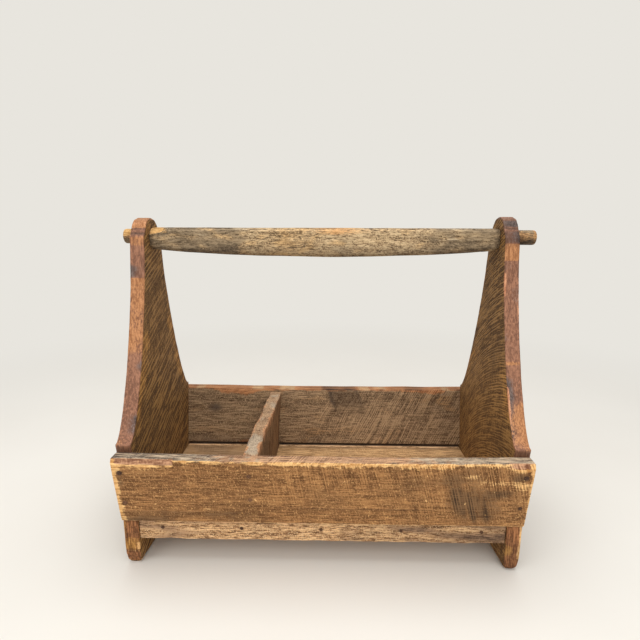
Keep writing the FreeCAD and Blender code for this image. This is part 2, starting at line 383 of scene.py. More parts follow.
def plank(size, step):
    """A board round the origin, as a grid of small faces with extra lines beside each edge."""
    bm = bmesh.new()
    bmesh.ops.create_cube(bm, size=1.0)
    bmesh.ops.scale(bm, vec=size, verts=bm.verts)
    for axis in range(3):
        cut_beside_edges(bm, axis, size[axis] / 2)
    for axis in range(3):
        divide(bm, axis, step)
    return bm


# %% [markdown]
# ## Wear as numbers
#
# A few small helpers do all the ageing. `drift` gives smooth random values over the surface,
# `rounded` wears sharp edges to a radius, `spots` marks places such as nails, and `stretches` lays
# patches along a board. They work on all vertices at once with numpy arrays, which is far quicker
# than moving vertices one by one.

# %% Helpers for worn surfaces
SEED_SHIFT = 31.7


def points_of(bm):
    """The places of all vertices of a bmesh, as rows of an array."""
    return np.array([vertex.co[:] for vertex in bm.verts])


def drift(points, spacing, seed):
    """A smooth random value from -1 to 1 at each point, which changes over about the spacing."""
    scaled = points / np.array(spacing) + SEED_SHIFT * seed
    return np.array([noise.noise(place) for place in scaled.tolist()])


def soft(low, high, values):
    """0 at the low value, 1 at the high one, and a soft step between them."""
    share = np.clip((values - low) / (high - low), 0, 1)
    return share * share * (3 - 2 * share)


def towards(share):
    """1 on a face of a board and 0 away from it; the share across the board is 1 at that face."""
    return soft(0.6, 0.95, share)


def bell(offset, reach):
    """1 where the offset is 0, falling off softly on both sides of it within about the reach."""
    return np.exp(-np.square(offset / reach))


def rounded(depths, radius):
    """Depths behind three faces that meet, after their sharp edges are worn to a radius."""
    reach = np.maximum(radius[:, None] - depths, 0)
    length = np.linalg.norm(reach, axis=1, keepdims=True)
    worn = radius[:, None] * (1 - reach / np.maximum(length, 1e-9))
    return np.where(reach > 0, worn, depths)


def spots(points, centres, radius):
    """1 at the nearest of the centres, falling to 0 at the radius."""
    far = [np.linalg.norm(points - np.array(centre), axis=1) for centre in centres]
    return 1 - soft(0, radius, np.min(far, axis=0))


def stretches(along, spans, lean=0.0):
    """Patches along a board: from, to, how softly they end, strength, and their lean to one side."""
    made = np.zeros(len(along))
    for start, stop, fade, strength, outwards in spans:
        length = soft(start - fade, start + fade, along) * soft(stop + fade, stop - fade, along)
        made = np.maximum(made, length * np.clip(strength + outwards * lean, 0, 1))
    return made


def show(name, bm, points, masks, material, node, body="caddy"):
    """Makes a finished piece: its mesh in place, its masks and its finish, on its body, with the plain part
    that it covers hidden.
    """
    mesh = bpy.data.meshes.new(name)
    bm.to_mesh(mesh)
    bm.free()
    mesh.vertices.foreach_set("co", np.asarray(points, np.float32).ravel())
    for label, values in masks.items():
        layer = mesh.attributes.new(label, "FLOAT", "POINT")
        layer.data.foreach_set("value", np.asarray(values, np.float32))
    mesh.shade_smooth()
    mesh.materials.append(material)
    mesh.update()
    piece = bpy.data.objects.new(name, mesh)
    scene.collection.objects.link(piece)
    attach(piece, body)
    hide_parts(node)
    print(name, "has", len(mesh.polygons), "faces")


def placed(points, matrix):
    """The points moved by a matrix."""
    turn = np.array(matrix)
    return points @ turn[:3, :3].T + turn[:3, 3]


# %% [markdown]
# ## The sloping front board
#
# The front board shows the most: golden brown, with upright saw marks towards its right, a top edge
# worn into a slow sag and split away at both ends, and pale wood along its worn edges. Its long edges
# are level although it leans, so it is a box that is sheared, not turned. A split is made by pressing
# all points that stand beyond a slanted plane back on to it.

# %% Sizes that the boards share
SIDE_ANGLE = math.radians(10)
SIDE_SLOPE, LEAN = math.tan(SIDE_ANGLE), math.cos(SIDE_ANGLE)
BOARD_STEP, INNER_STEP, FLOOR_STEP = 1.7 * MM, 1.9 * MM, 3.2 * MM
low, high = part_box("front_board")
SIDE_OUTER_Y, SIDE_TOP_Z = abs(low.y), high.z
SIDE_LENGTH, SIDE_HEIGHT = high.x - low.x, high.z - low.z
SIDE_LEVEL_THICKNESS = (high.y - low.y) - SIDE_SLOPE * SIDE_HEIGHT
SIDE_MIDDLE_Y = abs(low.y + high.y) / 2
SIDE_MIDDLE_Z = (low.z + high.z) / 2


def leaning(side):
    """Where a long side board stands: side is -1 at the front and 1 at the back."""
    rows = ((1, 0, 0, 0), (0, 1, side * SIDE_SLOPE, side * SIDE_MIDDLE_Y), (0, 0, 1, SIDE_MIDDLE_Z))
    return Matrix((*rows, (0, 0, 0, 1)))


side_size = Vector((SIDE_LENGTH, SIDE_LEVEL_THICKNESS, SIDE_HEIGHT))
side_half = np.array(side_size) / 2
print("side boards", [round(v * 1000, 1) for v in side_size], "mm")


# %% Worn edges, splits and spots that the boards share
def pressed(points, corner, normal, where):
    """Presses points that stand beyond a plane back on to it, as far as where says."""
    normal = Vector(normal).normalized()
    beyond = np.maximum((points - np.array(corner)) @ np.array(normal), 0) * where
    return points - beyond[:, None] * np.array(normal)


def worn_box(points, half, radius):
    """A box's points with its edges worn, and each point's distance from the nearest edge."""
    depths = half - np.abs(points)
    edge = np.sort(depths, axis=1)[:, 1]
    return np.sign(points) * (half - rounded(depths, radius)), edge


def cloud(x, z, middle, size):
    """A soft oval spot on the face of a board: its middle and half size, in millimetres."""
    return np.exp(-(((x / MM - middle[0]) / size[0]) ** 2) - ((z / MM - middle[1]) / size[1]) ** 2)


# %% The front board
bm = plank(side_size, BOARD_STEP)
points = points_of(bm)
x, y, z = points.T
level_front, top = -side_half[1], side_half[2]
at_front = towards(-y / side_half[1])
ragged = drift(points, (0.012, 0.03, 0.012), 1)
radius = (1.3 + 0.7 * drift(points, 0.03, 2) + 0.9 * soft(0.5, 1, z / side_half[2])) * MM
shaped, edge = worn_box(points, side_half, np.maximum(radius, 0.5 * MM))

# the split at the left end stops at a step, the one at the right fades out
SPLIT_DEPTH, SPLIT_FALL = 5.5 * MM, 8.9 * MM
split_left = soft(-0.197, -0.199, x + 0.15 * (z - top))
split_right = soft(0.232, 0.262, x)
split_corner = (0, level_front + SPLIT_DEPTH, top)
split_normal = (0, -SPLIT_FALL, SPLIT_DEPTH)
for split_end in (split_left, split_right):
    shaped = pressed(shaped, split_corner, split_normal, split_end)
split_ends = np.maximum(split_left, split_right)
lost = np.linalg.norm(shaped - points, axis=1)
split = soft(0.6 * MM, 1.4 * MM, lost) * split_ends * soft(0.2, -0.6, y / side_half[1])
rough = 0.6 * MM * np.maximum(drift(points, (0.03, 0.002, 0.0025), 3), 0)
shaped[:, 1] += split * rough
print("front board loses up to", round(float(lost.max()) * 1000, 1), "mm")

# %% Saw marks, sag and a crack on the front board
right_share = soft(-0.12, 0.14, x)
slant = x + (0.12 + 0.18 * right_share) * z
wander = 0.5 * drift(points, (0.05, 1, 0.09), 4)
ridges = np.sin(math.tau * (slant / 0.0105 + wander))
patchy = soft(-0.25, 0.45, drift(points, (0.07, 1, 0.05), 5))
uneven_strokes = drift(np.stack([slant, 0 * x, z], 1), (0.007, 1, 0.05), 15)
dull_patch = cloud(x + 0.55 * z, z, (195, -14), (30, 34)) * (1.0 + 0.8 * uneven_strokes)
crack_line = -0.026 + 0.0012 * drift(points, (0.12, 1, 1), 6)
crack = bell(z - crack_line, 0.0011) * soft(0.19, 0.12, x) * at_front
sag = 3.2 * MM * (1 - (x / side_half[0]) ** 2) * (0.8 + 0.4 * drift(points, (0.16, 1, 1), 7))
shaped[:, 2] -= sag * soft(0.2, 1, z / side_half[2])
hollow = 0.22 * (1 - ridges * patchy * right_share) * at_front + 0.7 * crack + 0.2 * ragged * at_front
shaped[:, 1] += np.maximum(hollow, 0) * MM

# the front arris of the top is chipped all along
chips = np.maximum(drift(points, (0.009, 1, 1), 12) + 0.5 * drift(points, (0.004, 1, 1), 13), 0)
chips = chips * soft(6 * MM, 1 * MM, np.hypot(top - z, y - level_front)) * (1 - split)
shaped[:, 1] += 2.2 * MM * chips
shaped[:, 2] -= 1.6 * MM * chips
print("front board sags by up to", round(float(sag.max()) / MM, 1), "mm")

# %% Nails, scratches and worn edges of the front board
END_NAIL_X = 270.5 * MM
DIVIDER_X = -97 * MM
# a seed and the X of each upright, then its nails: drop from the top, head's radius, share of rust
SIDE_NAILS = {
    "left": (44, -END_NAIL_X, ((22, 3.5, 0.1), (73, 3.2, 0.55))),
    "right": (45, END_NAIL_X, ((22, 3.4, 0.2), (73, 2.6, 0.0))),
    "divider": (47, DIVIDER_X, ((25, 3.0, 0.5), (65, 3.0, 0.6))),
}


def side_nail_places(face):
    """The nails of a long side board in its own axes, on the face that is so far from its middle."""
    places = [(nail_x, nail[0]) for _, nail_x, nails in SIDE_NAILS.values() for nail in nails]
    return [(nail_x, face, top - drop * MM * LEAN) for nail_x, drop in places]


NICK_WIDTH = 1.2 * MM


def nicks(points, count, seed, size):
    """Scattered short scratches on the face of a board, as a mask."""
    random = np.random.default_rng(seed)
    mask = np.zeros(len(points))
    span = np.abs(points).max(axis=0)
    for _ in range(count):
        middle = random.uniform(-span, span)
        turn = random.uniform(-1.2, 1.2)
        length = size * random.uniform(0.5, 1.6)
        across, up = (points - middle)[:, [0, 2]].T
        run = across * math.cos(turn) + up * math.sin(turn)
        off = up * math.cos(turn) - across * math.sin(turn)
        nick = np.exp(-((run / length) ** 2) - (off / NICK_WIDTH) ** 2)
        mask = np.maximum(mask, nick * random.uniform(0.3, 1))
    return mask


nail_places = side_nail_places(level_front)
dents = spots(points, nail_places, 5.5 * MM)
scratches = nicks(points, 110, 11, 3.2 * MM) * at_front
shaped[:, 1] += (0.6 * dents + 0.3 * scratches) * MM
top_gap = (top - split_ends * SPLIT_FALL - z) / MM + 1.5 * ragged
end_gap = (side_half[0] - np.abs(x)) / MM + 2 * ragged
on_top = soft(2.2 * MM, 0.7 * MM, top - z) * (1 - split)
uneven = drift(points, (0.022, 1, 1), 8) + 0.6 * drift(points, (0.007, 1, 1), 9)
teeth = np.maximum(ridges, 0) * soft(-0.06, 0.02, x) * soft(0.19, 0.12, x)
old_lines = soft(0.1, 0.5, drift(points, (0.05, 0.003, 0.002), 10))
print("front board has", len(nail_places), "nails")

# %% The front board's finish
tired = soft(0.0, 0.5, drift(points, (0.11, 1, 0.03), 14))
top_specks = drift(points, (0.009, 0.006, 1), 17)
at_ends = soft(0.2, 0.25, np.abs(x))
gold_patches = cloud(x, z, (236, 21), (30, 6)) + cloud(x, z, (268, 15), (12, 9))
gold_patches = gold_patches + 0.8 * cloud(x, z, (200, 32), (24, 6))
upper_part = 0.45 + 0.55 * soft(-0.04, 0.03, z)
top_rim = 0.72 + 0.42 * uneven + 0.35 * teeth + 0.5 * chips - top_gap / 11
broken = drift(points, (0.006, 1, 0.011), 16)
end_rim = np.where(x < 0, 1.25 - end_gap / 10, 0.9 - end_gap / 7) + 0.5 * soft(0.03, 0.05, z) + 0.6 * broken
end_rim = end_rim * (0.7 + 0.3 * soft(-0.01, 0.03, z))
pale_line = bell(z - crack_line + 0.003, 0.0013) * soft(-0.12, -0.16, x) * (0.6 + 0.6 * uneven)
hatched = on_top * (0.12 + 0.4 * soft(0.06, -0.02, x)) * soft(-0.4, 0.3, drift(points, (0.035, 1, 1), 18))
front_masks = {
    "sawline": np.where(on_top > 0.5, (x - 0.45 * y) / 0.0036, slant / 0.0038),
    "sawn": at_front * np.maximum((0.2 + 0.8 * right_share) * upper_part * (0.4 + 0.6 * patchy), dull_patch)
    + hatched,
    "dull": at_front * (
        0.74 * dull_patch + 0.55 * cloud(x, z, (-272, 16), (9, 18)) + 0.14 * soft(0.02, 0.2, x)
        + 0.5 * cloud(x, z, (262, 30), (13, 8)) + 0.45 * cloud(x, z, (243, 4), (20, 9)) + 0.22 * tired
        + 0.40 * soft(-0.028, -0.034, z) * soft(-0.05, -0.2, x)
    ) + 0.5 * towards(y / side_half[1]),
    "rained": on_top,
    "silver": on_top * (0.22 + 0.42 * soft(0.10, 0.16, x) + 0.5 * soft(-0.10, -0.17, x) + 0.35 * top_specks),
    "bare": split * 1.2,
    "worn": at_front * np.maximum.reduce([
        ((1.2 - end_gap / 6) + 0.36 * soft(0, 0.1, x)) * split,
        top_rim * (1 - split), end_rim * (1 - split), 0.45 * gold_patches,
        0.5 * soft(2.5 * MM, 0.5 * MM, edge) * (1 - split), 0.75 * scratches, 0.5 * pale_line, 0 * x,
    ]),
    "stain_and_shade": spots(points, nail_places, 7 * MM) * (0.36 + at_ends * (0.08 + 0.5 * soft(0.02, 0.03, z)))
    + 0.30 * on_top * soft(0.15, 0.6, top_specks)
    + 0.45 * crack * soft(-0.10, 0.0, x)
    + 0.45 * old_lines * (split * soft(0.2, 0.0, x) + on_top * soft(-0.05, -0.2, x)),
}
front_wood = old_wood(
    "front_board_sawn_wood", 0,
    ((100, 66, 36), (135, 93, 55), (174, 125, 75), (120, 86, 53), (214, 164, 106)),
    {
        "dull": ((60, 44, 29), (128, 94, 60), 0.2),
        "rained": ((104, 74, 55), (210, 164, 124), 0.2),
        "silver": ((72, 63, 57), (204, 181, 152), 0.2),
        "bare": ((118, 76, 53), (210, 160, 122), 0.2),
        "worn": ((184, 129, 72), (246, 199, 134), 0.16),
    },
    1.0, sawing=0.8, checked=0.2, flecked=0.5,
)
show("worn_front_board", bm, placed(shaped, leaning(-1)), front_masks, front_wood,
     "front_board")

# %% [markdown]
# ## The back board
#
# Seen over the front, the back board shows its inner face: dark grey brown, with the slanting marks
# of a big saw on its right half, an orange red wear along the top and spots of it along the bottom.
# It is the same kind of grid, leaning the other way.

# %% The back board's shape
bm = plank(side_size, BOARD_STEP)
points = points_of(bm)
x, y, z = points.T
inside = towards(-y / side_half[1])
outside = towards(y / side_half[1])
facing = inside - outside
ragged = drift(points, (0.014, 0.03, 0.012), 21)
radius = (1.4 + 0.6 * drift(points, 0.03, 22) + 1.2 * soft(0.5, 1, z / side_half[2])) * MM
shaped, edge = worn_box(points, side_half, np.maximum(radius, 0.5 * MM))
patchy = soft(-0.2, 0.4, drift(points, (0.08, 1, 0.06), 24))
slanting, upright = x - 0.55 * z, x + 0.12 * z
ridges = np.sin(math.tau * (slanting / 0.0065 + 0.4 * drift(points, (0.06, 1, 0.08), 23)))
sag = 2.0 * MM * (1 - (x / side_half[0]) ** 2) + 0.8 * MM * drift(points, (0.06, 1, 1), 25)
shaped[:, 2] -= np.maximum(sag, 0) * soft(0.2, 1, z / side_half[2])
shaped[:, 1] += facing * (0.18 * (1 - ridges * patchy) + np.maximum(0.25 * ragged, 0)) * MM
nail_places = side_nail_places(side_half[1])
shaped[:, 1] -= 0.6 * MM * spots(points, nail_places, 7 * MM)
print("back board leans", round(math.degrees(SIDE_ANGLE), 1), "degrees")

# %% The back board's finish
top_gap = (top - z) / MM + 3 * ragged
left_wear = soft(-0.23, -0.19, x) * soft(-0.115, -0.145, x)
right_wear = soft(0.12, 0.16, x) * soft(0.245, 0.215, x)
wear_depth = 8 * left_wear + 6 * right_wear + 5 * drift(points, (0.03, 1, 1), 26)
wear_depth += 4 * drift(points, (0.009, 1, 1), 28)
wander = 0.9 * drift(points, (0.05, 1, 0.04), 29)
across, down = x / MM, (top - z) / MM
bent = across + 5 * drift(points, (0.03, 1, 0.02), 31)
left_rim, right_rim = bent - 6 - 0.45 * down, bent - 64 - 0.30 * down
knot = soft(-5, 6, left_rim) * soft(6, -6, right_rim) * soft(66, 22, down)
knot_rims = (bell(left_rim, 5) + 0.7 * bell(right_rim, 4)) * soft(66, 20, down)
on_top = soft(1.8 * MM, 0.5 * MM, top - z)
low_spots = soft(9 * MM, 2 * MM, z + top) * soft(0.1, 0.5, drift(points, (0.028, 1, 1), 32))
pale_top = stretches(across, [(-246, -228, 4, 0.6, 0), (-138, -116, 4, 0.9, 0), (-84, -56, 5, 0.9, 0),
                              (66, 88, 4, 0.6, 0), (94, 122, 5, 0.5, 0), (226, 241, 3, 0.55, 0)])
dark_top = stretches(across, [(-50, -14, 10, 0.12, 0), (-3, 61, 6, 0.45, 0), (158, 190, 8, 0.30, 0),
                              (243, 300, 4, 0.12, 0)])
back_masks = {
    "sawline": np.where(y < 0, slanting / 0.0040, upright / 0.0040) + wander,
    "sawn": inside * (0.12 + 0.9 * soft(-0.05, 0.03, x)) * (0.45 + 0.55 * patchy)
    + outside * (0.15 + 0.45 * patchy),
    "dull": inside * (
        0.6 * cloud(x, z, (-208, 14), (19, 15)) + 0.36 * knot_rims + 0.3 * knot
        + 0.4 * soft(-0.025, -0.045, z) * soft(0, -0.1, x)
    ),
    "golden": 0.36 * outside + inside * 0.34 * soft(0.0, 0.4, drift(points, (0.05, 1, 0.02), 27)),
    "bare": np.maximum.reduce([
        np.clip(0.5 + (wear_depth - top_gap) / 9, 0, 0.8) * inside, 0.85 * on_top, 0.62 * low_spots * inside,
    ]),
    "worn": on_top * (pale_top + 0.3 * ragged) + 0.4 * outside * soft(2.5 * MM, 0.5 * MM, edge),
    "stain_and_shade": 0.8 * spots(points, nail_places, 8 * MM)
    + (0.34 * knot + 0.16 * knot_rims + 0.10 * soft(0.03, 0.09, x)) * inside
    + on_top * np.maximum(0.30 + dark_top - 0.2 * pale_top + 0.2 * ragged, 0),
}
back_wood = old_wood(
    "back_board_sawn_wood", 0,
    ((84, 64, 46), (131, 104, 77), (180, 148, 111), (112, 92, 74), (198, 166, 126)),
    {
        "dull": ((70, 58, 48), (108, 92, 76), 0.2),
        "golden": ((122, 90, 58), (184, 140, 92), 0.2),
        "bare": ((134, 84, 52), (210, 148, 98), 0.25),
        "worn": ((128, 90, 58), (214, 172, 126), 0.2),
    },
    2.0, coarse=0.7, length=1.3, sawing=0.8, checked=0.1, flecked=0.7,
)
show("worn_back_board", bm, placed(shaped, leaning(1)), back_masks, back_wood,
     "back_board")

# %% [markdown]
# ## Floor, battens and divider
#
# The floor is one wide board with a strip nailed along each long edge to carry it. The divider
# stands across the box. Years of tools have worn its top edge wavy and silver, and its back part has
# warped to the right. All four start as plain boxes in the frame, so one function makes and wears
# their grids, and what is special to each comes after it.

# %% Boards inside the box
def box_board(node, step, seed, wear):
    """A worn grid in the place of a node: its bmesh, points, worn points, half size and placing."""
    low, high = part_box(node)
    size = high - low
    bm = plank(size, step)
    points = points_of(bm)
    half = np.array(size) / 2
    radius = np.maximum((wear + 0.5 * wear * drift(points, 0.025, seed)) * MM, 0.4 * MM)
    shaped = worn_box(points, half, radius)[0]
    return bm, points, shaped, half, Matrix.Translation((low + high) / 2)


# %% The floor
bm, points, shaped, half, place = box_board("floor_board", FLOOR_STEP, 31, 1.2)
x, y, z = points.T
on_top = towards(z / half[2])
flat_side = np.sign(z) * towards(np.abs(z) / half[2])
rough = np.maximum(0.5 + 0.5 * drift(points, (0.15, 0.012, 1), 34), 0)
shaped[:, 2] -= flat_side * 0.35 * rough * MM
floor_masks = {
    "sawline": (x + 0.2 * y) / 0.0045,
    "sawn": 0.5 * soft(-0.1, 0.4, drift(points, (0.1, 0.08, 1), 33)),
    "dull": 0.52 * on_top * np.maximum(soft(-0.09, -0.11, x), soft(0.09, 0.1, np.abs(y)))
    + 0.3 * on_top * soft(0, 0.6, drift(points, 0.06, 36)),
    "worn": 0.4 * on_top * soft(0, 0.5, drift(points, (0.2, 0.03, 1), 35)),
    "stain_and_shade": on_top * (0.3 * soft(0.2, 0.6, drift(points, 0.05, 37)) + 0.08 * soft(-0.09, -0.12, x)),
}
floor_wood = old_wood(
    "floor_board_wood", 0,
    ((136, 101, 65), (192, 149, 101), (226, 182, 130), (162, 128, 92), (236, 198, 148)),
    {
        "dull": ((124, 96, 67), (178, 142, 104), 0.2),
        "worn": ((176, 130, 84), (226, 180, 126), 0.2),
    },
    3.0, sawing=0.3,
)
show("worn_floor_board", bm, placed(shaped, place), floor_masks, floor_wood, "floor_board")

# %% The two battens
BATTEN_NAIL_X = [offset * MM for offset in (-226, -113, 0, 113, 226)]
FLOOR_NAIL_Z = 59.5 * MM
batten_wood = old_wood(
    "batten_weathered_wood", 0,
    ((102, 70, 45), (184, 139, 95), (238, 195, 143), (146, 111, 81), (246, 210, 162)),
    {
        "silver": ((96, 73, 58), (188, 149, 113), 0.2),
        "worn": ((196, 148, 104), (236, 194, 148), 0.13),
    },
    4.0, coarse=0.8, length=0.6, checked=0.35, flecked=0.6,
)


def batten(name, node, side, seed):
    """The strip along an edge of the floor; side is -1 at the front and 1 at the back."""
    bm, points, shaped, half, place = box_board(node, INNER_STEP, seed, 1.3)
    x, y, z = points.T
    outwards = side * y / half[1]
    outer = towards(outwards)
    lumps = drift(points, (0.05, 0.03, 0.006), seed + 1)
    ragged_foot = soft(-0.5, -1, z / half[2]) * np.maximum(drift(points, (0.03, 0.02, 1), seed + 2), 0)
    shaped[:, 2] += 1.6 * MM * ragged_foot
    shaped[:, 1] -= side * outer * np.maximum(0.35 + 0.4 * lumps, 0) * MM
    nails = [(nail_x, side * half[1], FLOOR_NAIL_Z - place.translation.z) for nail_x in BATTEN_NAIL_X]
    shaped[:, 1] -= side * 0.5 * MM * spots(points, nails, 6 * MM)
    fade = drift(points, (0.06, 1, 0.01), seed + 3)
    greyed = 0.08 + 0.35 * soft(-0.14, -0.2, x) + 0.35 * soft(0.06, 0.14, x) + 0.5 * fade
    dirty = 0.23 * soft(0.03, 0.06, x) + 0.08 * soft(0.15, 0.18, x) + 0.06 * soft(-0.18, -0.22, x)
    masks = {
        "silver": outer * np.maximum(greyed, 0),
        "worn": np.clip(0.7 - (half[2] - np.abs(z) + MM * lumps) / (6 * MM), 0, 1) * (0.8 + 0.5 * fade),
        "stain_and_shade": 0.7 * spots(points, nails, 4 * MM)
        # painted shade: the top of each batten under its side board is painted dark, so that the slot under
        # the board looks dark
        + soft(2.5 * MM, 1 * MM, half[2] - z) * soft(-0.6, -0.4, outwards) * soft(0.95, 0.8, outwards)
        + outer * (1 + 0.8 * fade) * dirty,
    }
    show(name, bm, placed(shaped, place), masks, batten_wood, node)


batten("worn_front_batten", "front_floor_batten", -1, 41)
batten("worn_back_batten", "back_floor_batten", 1, 51)

# %% The divider, cut to the slope of the sides at both ends
low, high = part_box("divider_board")
DIVIDER_BOTTOM_HALF = high.y - SIDE_SLOPE * (high.z - low.z)
bm, points, shaped, half, place = box_board("divider_board", INNER_STEP, 61, 1.6)
x, y, z = points.T
waves = drift(points, (0.05, 0.035, 1), 62) + 0.6 * drift(points, (0.02, 0.014, 1), 63)
upper = soft(0.55, 1, z / half[2])
shaped[:, 2] -= (1.8 + 2.0 * waves) * MM * upper
bitten = np.where(x > 0, soft(0.11, 0.05, y), 0.6 * soft(-0.09, -0.04, y))
bites = np.maximum(4.5 * drift(points, (0.05, 0.028, 1), 64), 0) * bitten
shaped[:, 0] -= np.sign(x) * upper * bites * MM

# the warp to the right, the lower back end, the wavy run of the top and the grooves of both faces
shaped[:, 0] += (2.0 * soft(-0.05, 0.1, y) + 3.2 * soft(-0.4, 1, z / half[2]) * soft(-0.05, 0.02, y)) * MM
shaped[:, 2] -= 3.0 * MM * upper * soft(0.085, 0.127, y)
shaped[:, 0] += 2.6 * MM * upper * drift(points, (1, 0.026, 1), 67) * soft(-0.11, -0.06, y)
streaks = drift(points, (1, 0.006, 0.07), 65)
sides = towards(np.abs(x) / half[0])
shaped[:, 0] -= np.sign(x) * sides * np.maximum(0.25 + 0.3 * streaks, 0) * MM

# both ends are cut to the slope of the sides
shaped[:, 1] *= (DIVIDER_BOTTOM_HALF + SIDE_SLOPE * (z + half[2])) / half[1]
on_top = soft(2.4 * MM, 0.7 * MM, half[2] - z)
specks = drift(points, (0.008, 0.010, 1), 68)
rims = soft(7 * MM, 0.5 * MM, half[0] - np.abs(x)) * upper
greyed = 0.36 + 1.1 * drift(points, (0.02, 0.024, 1), 66) - 0.35 * soft(-0.02, 0.06, y)
divider_masks = {
    "sawline": y / 0.0042,
    "sawn": 0.5 * sides,
    "rained": on_top * 1.1,
    "silver": on_top * (greyed + 0.15 * soft(-0.05, -0.08, y)),
    "worn": rims * (0.5 + 0.8 * specks - 0.3 * soft(0.02, 0.06, y)),
    "stain_and_shade": 0.3 * soft(-0.3, -1, z / half[2]) + 0.3 * on_top * soft(0.1, 0.6, -specks),
}
divider_wood = old_wood(
    "divider_board_wood", 2,
    ((78, 55, 34), (122, 90, 59), (162, 126, 88), (102, 78, 55), (176, 140, 100)),
    {
        "rained": ((130, 102, 76), (188, 152, 116), 0.2),
        "silver": ((142, 124, 106), (196, 174, 146), 0.25),
        "worn": ((152, 104, 72), (204, 152, 108), 0.25),
    },
    5.0,
)
show("worn_divider", bm, placed(shaped, place), divider_masks, divider_wood, "divider_board")

# %% [markdown]
# ## The end boards
#
# An end board is tall: two feet, a notch on each side that a long board sits in, hollow curved sides
# and a worn, rounded head with a round hole. A grid for it starts as a box as wide as the notch. Its
# feet are pushed out of the sides, every row above the notch is stretched to the outline, and faces
# round the handle are taken out and the two openings bridged to make the hole.

# %% The outline of an end board, as half its width at a height
low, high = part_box("right_end_board")
END_THICKNESS, END_HEIGHT = high.x - low.x, high.z
END_MIDDLE_X = (low.x + high.x) / 2
FOOT_Y, NOTCH_Z, NOTCH_Y = 126.486 * MM, 74 * MM, 109.162 * MM
CORNER = Vector((high.y, 188.5 * MM))
CORNER_PULL = Vector((high.y - 27 * MM, 188.5 * MM))
NECK_PULL = Vector((43.37 * MM, 356.41 * MM))
NECK = Vector((34.5 * MM, 452 * MM))
HEAD = [(y * MM, z * MM) for y, z in ((33, 466), (25.5, 478), (21.6, 485.5), (16, 491.8), (8, 496))]
CURVE_POINTS = 80
HANDLE_Z = 466 * MM

hollow_side = [point[:] for point in interpolate_bezier(CORNER, CORNER_PULL, NECK_PULL, NECK, CURVE_POINTS)]
outline = [(NOTCH_Y, NOTCH_Z)] + hollow_side + HEAD
outline_y, outline_z = np.array(outline).T


def half_width(z):
    """Half the width of an end board at a height above its notches."""
    return np.interp(z, outline_z, outline_y)


print("end board outline has", len(outline), "points on each side")


# %% A grid in the shape of an end board
HOLE_RADIUS = 11.35 * MM
ROW_STEP, HEAD_ROW_STEP, COLUMN_STEP = 1.9 * MM, 1.2 * MM, 2.6 * MM
HEAD_ROWS_Z = 0.44
EXTRA_CORNER_ROWS = (0.3 * MM, 0.9 * MM)


def spaced(start, stop, step):
    """Evenly spaced values from start to stop, about a step apart."""
    return list(np.linspace(start, stop, round((stop - start) / step) + 1))


def push_out(bm, faces, reaches):
    """Extrudes faces sideways out of the board, to each of the reaches in turn."""
    for reach in reaches:
        around = list(dict.fromkeys(edge for face in faces for edge in face.edges))
        made = bmesh.ops.extrude_face_region(bm, geom=faces + around)["geom"]
        faces = [item for item in made if isinstance(item, bmesh.types.BMFace)]
        for item in made:
            if isinstance(item, bmesh.types.BMVert):
                item.co.y = math.copysign(reach, item.co.y)


def end_grid():
    """An end board round X = 0, with feet, outline and handle hole."""
    bm = bmesh.new()
    bmesh.ops.create_cube(bm, size=1.0)
    bmesh.ops.scale(bm, vec=(END_THICKNESS, 2 * NOTCH_Y, END_HEIGHT), verts=bm.verts)
    bmesh.ops.translate(bm, vec=(0, 0, END_HEIGHT / 2), verts=bm.verts)
    deep = ARRIS_LINES[-1]
    rows = list(ARRIS_LINES) + spaced(deep, NOTCH_Z, ROW_STEP)[1:] + spaced(NOTCH_Z, CORNER.y, ROW_STEP)[1:]
    rows += [CORNER.y + extra for extra in EXTRA_CORNER_ROWS] + spaced(CORNER.y, HEAD_ROWS_Z, ROW_STEP)[1:]
    rows += spaced(HEAD_ROWS_Z, END_HEIGHT - deep, HEAD_ROW_STEP)[1:-1]
    cut_across(bm, 2, rows + [END_HEIGHT - line for line in ARRIS_LINES])
    cut_beside_edges(bm, 0, END_THICKNESS / 2)
    cut_beside_edges(bm, 1, NOTCH_Y)
    divide(bm, 1, COLUMN_STEP)
    divide(bm, 0, COLUMN_STEP)
    bm.normal_update()
    steps = spaced(NOTCH_Y, FOOT_Y - deep, COLUMN_STEP)[1:]
    steps += [FOOT_Y - line for line in ARRIS_LINES[1::-1]] + [FOOT_Y]
    low_faces = [face for face in bm.faces if face.calc_center_median().z < NOTCH_Z]
    for shoulder in [[f for f in low_faces if f.normal.y * side > 0.9] for side in (-1, 1)]:
        push_out(bm, shoulder, steps)
    for vertex in bm.verts:
        if vertex.co.z > NOTCH_Z + 1e-6:
            vertex.co.y *= half_width(vertex.co.z) / NOTCH_Y
    return bm


def drill(bm):
    """Opens the round hole for the handle through an end board."""
    axis = Vector((0, HANDLE_Z))
    bm.normal_update()
    plug = []
    for face in bm.faces:
        middle = face.calc_center_median()
        if abs(face.normal.x) > 0.9 and (Vector((middle.y, middle.z)) - axis).length < HOLE_RADIUS:
            plug.append(face)
    bmesh.ops.delete(bm, geom=plug, context="FACES")
    rim = [edge for edge in bm.edges if edge.is_boundary]
    for vertex in {v for edge in rim for v in edge.verts}:
        arm = (Vector((vertex.co.y, vertex.co.z)) - axis).normalized() * HOLE_RADIUS
        vertex.co.y, vertex.co.z = arm.x, arm.y + HANDLE_Z
    bmesh.ops.bridge_loops(bm, edges=rim)
    bmesh.ops.recalc_face_normals(bm, faces=bm.faces)


# %% Wear of an end board
HEAD_WEAR = 1.4
HAIR = 0.1 * MM


